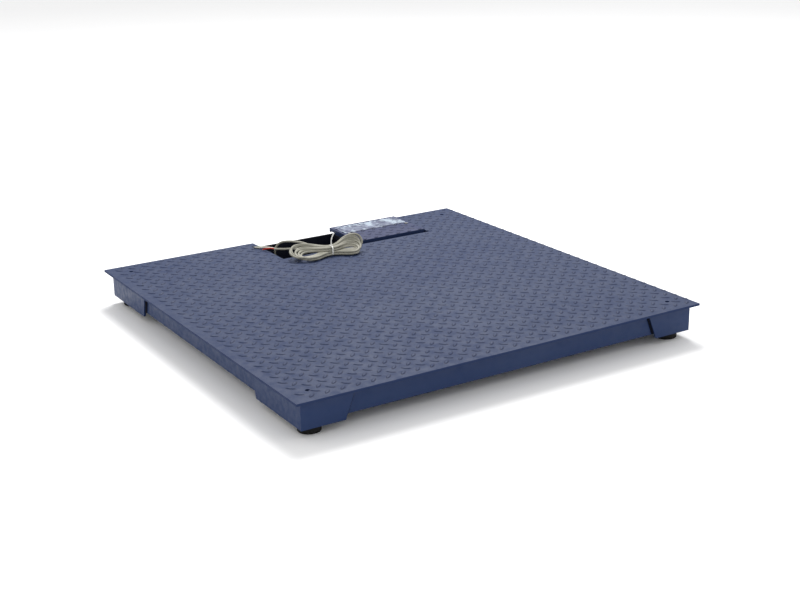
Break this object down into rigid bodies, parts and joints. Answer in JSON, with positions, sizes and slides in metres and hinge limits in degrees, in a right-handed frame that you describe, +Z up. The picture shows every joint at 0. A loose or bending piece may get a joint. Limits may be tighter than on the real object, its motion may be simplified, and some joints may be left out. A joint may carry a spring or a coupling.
{
  "type": "floor scale",
  "caption": "Square low-profile floor scale for pallets: treadplate deck on load-cell feet, with a covered cable bay and a tied signal cable.",
  "frame": {"origin": "on the floor, under the middle of the square deck", "axes": "+Z up, +Y towards the edge that the cable bay opens through, +X to the right seen from the opposite edge"},
  "size_m": [1.2, 1.2, 0.1852],
  "materials": {
    "deck_paint": "satin paint, grey-blue, worn on the tread",
    "cover_paint": "satin paint, a little paler than the deck",
    "frame_paint": "satin navy paint",
    "foot_rubber": "moulded black rubber",
    "zinc_plated_steel": "bright zinc plating",
    "cell_nickel": "nickel plating, ground faces",
    "box_aluminium": "cast, blasted",
    "seal_rubber": "soft black rubber",
    "board_green": "glass-fibre board with green resist",
    "terminal_plastic": "moulded green terminal plastic",
    "trimmer_blue": "moulded blue plastic",
    "gland_nylon": "moulded black nylon",
    "collar_nylon": "natural nylon",
    "cell_cable_sheath": "dark grey PVC sheath",
    "signal_cable_sheath": "grey-beige PVC sheath, a little dirty",
    "tie_nylon": "natural nylon",
    "core_insulation": "coloured PVC insulation",
    "label_plastic": "blank, weathered plastic film"
  },
  "bodies": {
    "platform": {"back_skirt": "frame_paint", "bay_beams": "frame_paint", "bay_tray": "frame_paint", "cable_clips": "gland_nylon", "cable_cores": "core_insulation", "cable_grommets": "seal_rubber", "cable_tie": "tie_nylon", "cell_bolts": "zinc_plated_steel", "cell_cables": "cell_cable_sheath", "cell_glands": "gland_nylon", "cell_mount_plates": "frame_paint", "cell_seals": "cell_nickel", "cell_spacers": "zinc_plated_steel", "circuit_board": "board_green", "corner_box_back_left": "frame_paint", "corner_box_back_right": "frame_paint", "corner_box_front_left": "frame_paint", "corner_box_front_right": "frame_paint", "cover_bracket_left": "frame_paint", "cover_bracket_right": "frame_paint", "deck_plate": "deck_paint", "deck_ribs": "frame_paint", "foot_lock_nuts": "zinc_plated_steel", "front_skirt": "frame_paint", "junction_body": "box_aluminium", "junction_gasket": "seal_rubber", "junction_lid": "box_aluminium", "junction_screws": "zinc_plated_steel", "left_skirt": "frame_paint", "load_cell_back_left": "cell_nickel", "load_cell_back_right": "cell_nickel", "load_cell_front_left": "cell_nickel", "load_cell_front_right": "cell_nickel", "right_skirt": "frame_paint", "signal_cable_end": "signal_cable_sheath", "signal_cable_hank": "signal_cable_sheath", "signal_cable_lead": "signal_cable_sheath", "signal_gland": "gland_nylon", "terminal_blocks": "terminal_plastic", "trim_pots": "trimmer_blue"},
    "cover": {"bay_cover": "cover_paint", "cover_screws": "zinc_plated_steel", "cover_label": "label_plastic"},
    "foot_front_left_carrier": {"foot_collar_front_left": "collar_nylon"},
    "foot_front_left_stud": {"foot_stud_front_left": "zinc_plated_steel"},
    "foot_front_left_cup": {"foot_cup_front_left": "zinc_plated_steel"},
    "foot_front_left_pad": {"foot_pad_front_left": "foot_rubber"},
    "foot_front_right_carrier": {"foot_collar_front_right": "collar_nylon"},
    "foot_front_right_stud": {"foot_stud_front_right": "zinc_plated_steel"},
    "foot_front_right_cup": {"foot_cup_front_right": "zinc_plated_steel"},
    "foot_front_right_pad": {"foot_pad_front_right": "foot_rubber"},
    "foot_back_left_carrier": {"foot_collar_back_left": "collar_nylon"},
    "foot_back_left_stud": {"foot_stud_back_left": "zinc_plated_steel"},
    "foot_back_left_cup": {"foot_cup_back_left": "zinc_plated_steel"},
    "foot_back_left_pad": {"foot_pad_back_left": "foot_rubber"},
    "foot_back_right_carrier": {"foot_collar_back_right": "collar_nylon"},
    "foot_back_right_stud": {"foot_stud_back_right": "zinc_plated_steel"},
    "foot_back_right_cup": {"foot_cup_back_right": "zinc_plated_steel"},
    "foot_back_right_pad": {"foot_pad_back_right": "foot_rubber"}
  },
  "joints": [
    {"name": "foot_front_left_height", "type": "slide", "parent": "platform", "child": "foot_front_left_carrier", "axis": [0, 0, -1], "range_m": [0, 0.02]},
    {"name": "foot_front_left_turn", "type": "hinge", "parent": "foot_front_left_carrier", "child": "foot_front_left_stud", "pos_m": [-0.54, -0.54, 0.015], "axis": [0, 0, -1], "range_deg": [0, 4120]},
    {"name": "foot_front_left_tilt_x", "type": "hinge", "parent": "foot_front_left_carrier", "child": "foot_front_left_cup", "pos_m": [-0.54, -0.54, 0.015], "axis": [1, 0, 0], "range_deg": [-5, 5]},
    {"name": "foot_front_left_tilt_y", "type": "hinge", "parent": "foot_front_left_cup", "child": "foot_front_left_pad", "pos_m": [-0.54, -0.54, 0.015], "axis": [0, 1, 0], "range_deg": [-5, 5]},
    {"name": "foot_front_right_height", "type": "slide", "parent": "platform", "child": "foot_front_right_carrier", "axis": [0, 0, -1], "range_m": [0, 0.02]},
    {"name": "foot_front_right_turn", "type": "hinge", "parent": "foot_front_right_carrier", "child": "foot_front_right_stud", "pos_m": [0.54, -0.54, 0.015], "axis": [0, 0, -1], "range_deg": [0, 4120]},
    {"name": "foot_front_right_tilt_x", "type": "hinge", "parent": "foot_front_right_carrier", "child": "foot_front_right_cup", "pos_m": [0.54, -0.54, 0.015], "axis": [1, 0, 0], "range_deg": [-5, 5]},
    {"name": "foot_front_right_tilt_y", "type": "hinge", "parent": "foot_front_right_cup", "child": "foot_front_right_pad", "pos_m": [0.54, -0.54, 0.015], "axis": [0, 1, 0], "range_deg": [-5, 5]},
    {"name": "foot_back_left_height", "type": "slide", "parent": "platform", "child": "foot_back_left_carrier", "axis": [0, 0, -1], "range_m": [0, 0.02]},
    {"name": "foot_back_left_turn", "type": "hinge", "parent": "foot_back_left_carrier", "child": "foot_back_left_stud", "pos_m": [-0.54, 0.54, 0.015], "axis": [0, 0, -1], "range_deg": [0, 4120]},
    {"name": "foot_back_left_tilt_x", "type": "hinge", "parent": "foot_back_left_carrier", "child": "foot_back_left_cup", "pos_m": [-0.54, 0.54, 0.015], "axis": [1, 0, 0], "range_deg": [-5, 5]},
    {"name": "foot_back_left_tilt_y", "type": "hinge", "parent": "foot_back_left_cup", "child": "foot_back_left_pad", "pos_m": [-0.54, 0.54, 0.015], "axis": [0, 1, 0], "range_deg": [-5, 5]},
    {"name": "foot_back_right_height", "type": "slide", "parent": "platform", "child": "foot_back_right_carrier", "axis": [0, 0, -1], "range_m": [0, 0.02]},
    {"name": "foot_back_right_turn", "type": "hinge", "parent": "foot_back_right_carrier", "child": "foot_back_right_stud", "pos_m": [0.54, 0.54, 0.015], "axis": [0, 0, -1], "range_deg": [0, 4120]},
    {"name": "foot_back_right_tilt_x", "type": "hinge", "parent": "foot_back_right_carrier", "child": "foot_back_right_cup", "pos_m": [0.54, 0.54, 0.015], "axis": [1, 0, 0], "range_deg": [-5, 5]},
    {"name": "foot_back_right_tilt_y", "type": "hinge", "parent": "foot_back_right_cup", "child": "foot_back_right_pad", "pos_m": [0.54, 0.54, 0.015], "axis": [0, 1, 0], "range_deg": [-5, 5]},
    {"name": "cover_lift", "type": "slide", "parent": "platform", "child": "cover", "axis": [0, 0, 1], "range_m": [0, 0.15]}
  ],
  "couplings": [
    {"joint": "foot_front_left_turn", "follows": "foot_front_left_height", "rad_per_m": 3590.4},
    {"joint": "foot_front_right_turn", "follows": "foot_front_right_height", "rad_per_m": 3590.4},
    {"joint": "foot_back_left_turn", "follows": "foot_back_left_height", "rad_per_m": 3590.4},
    {"joint": "foot_back_right_turn", "follows": "foot_back_right_height", "rad_per_m": 3590.4}
  ]
}
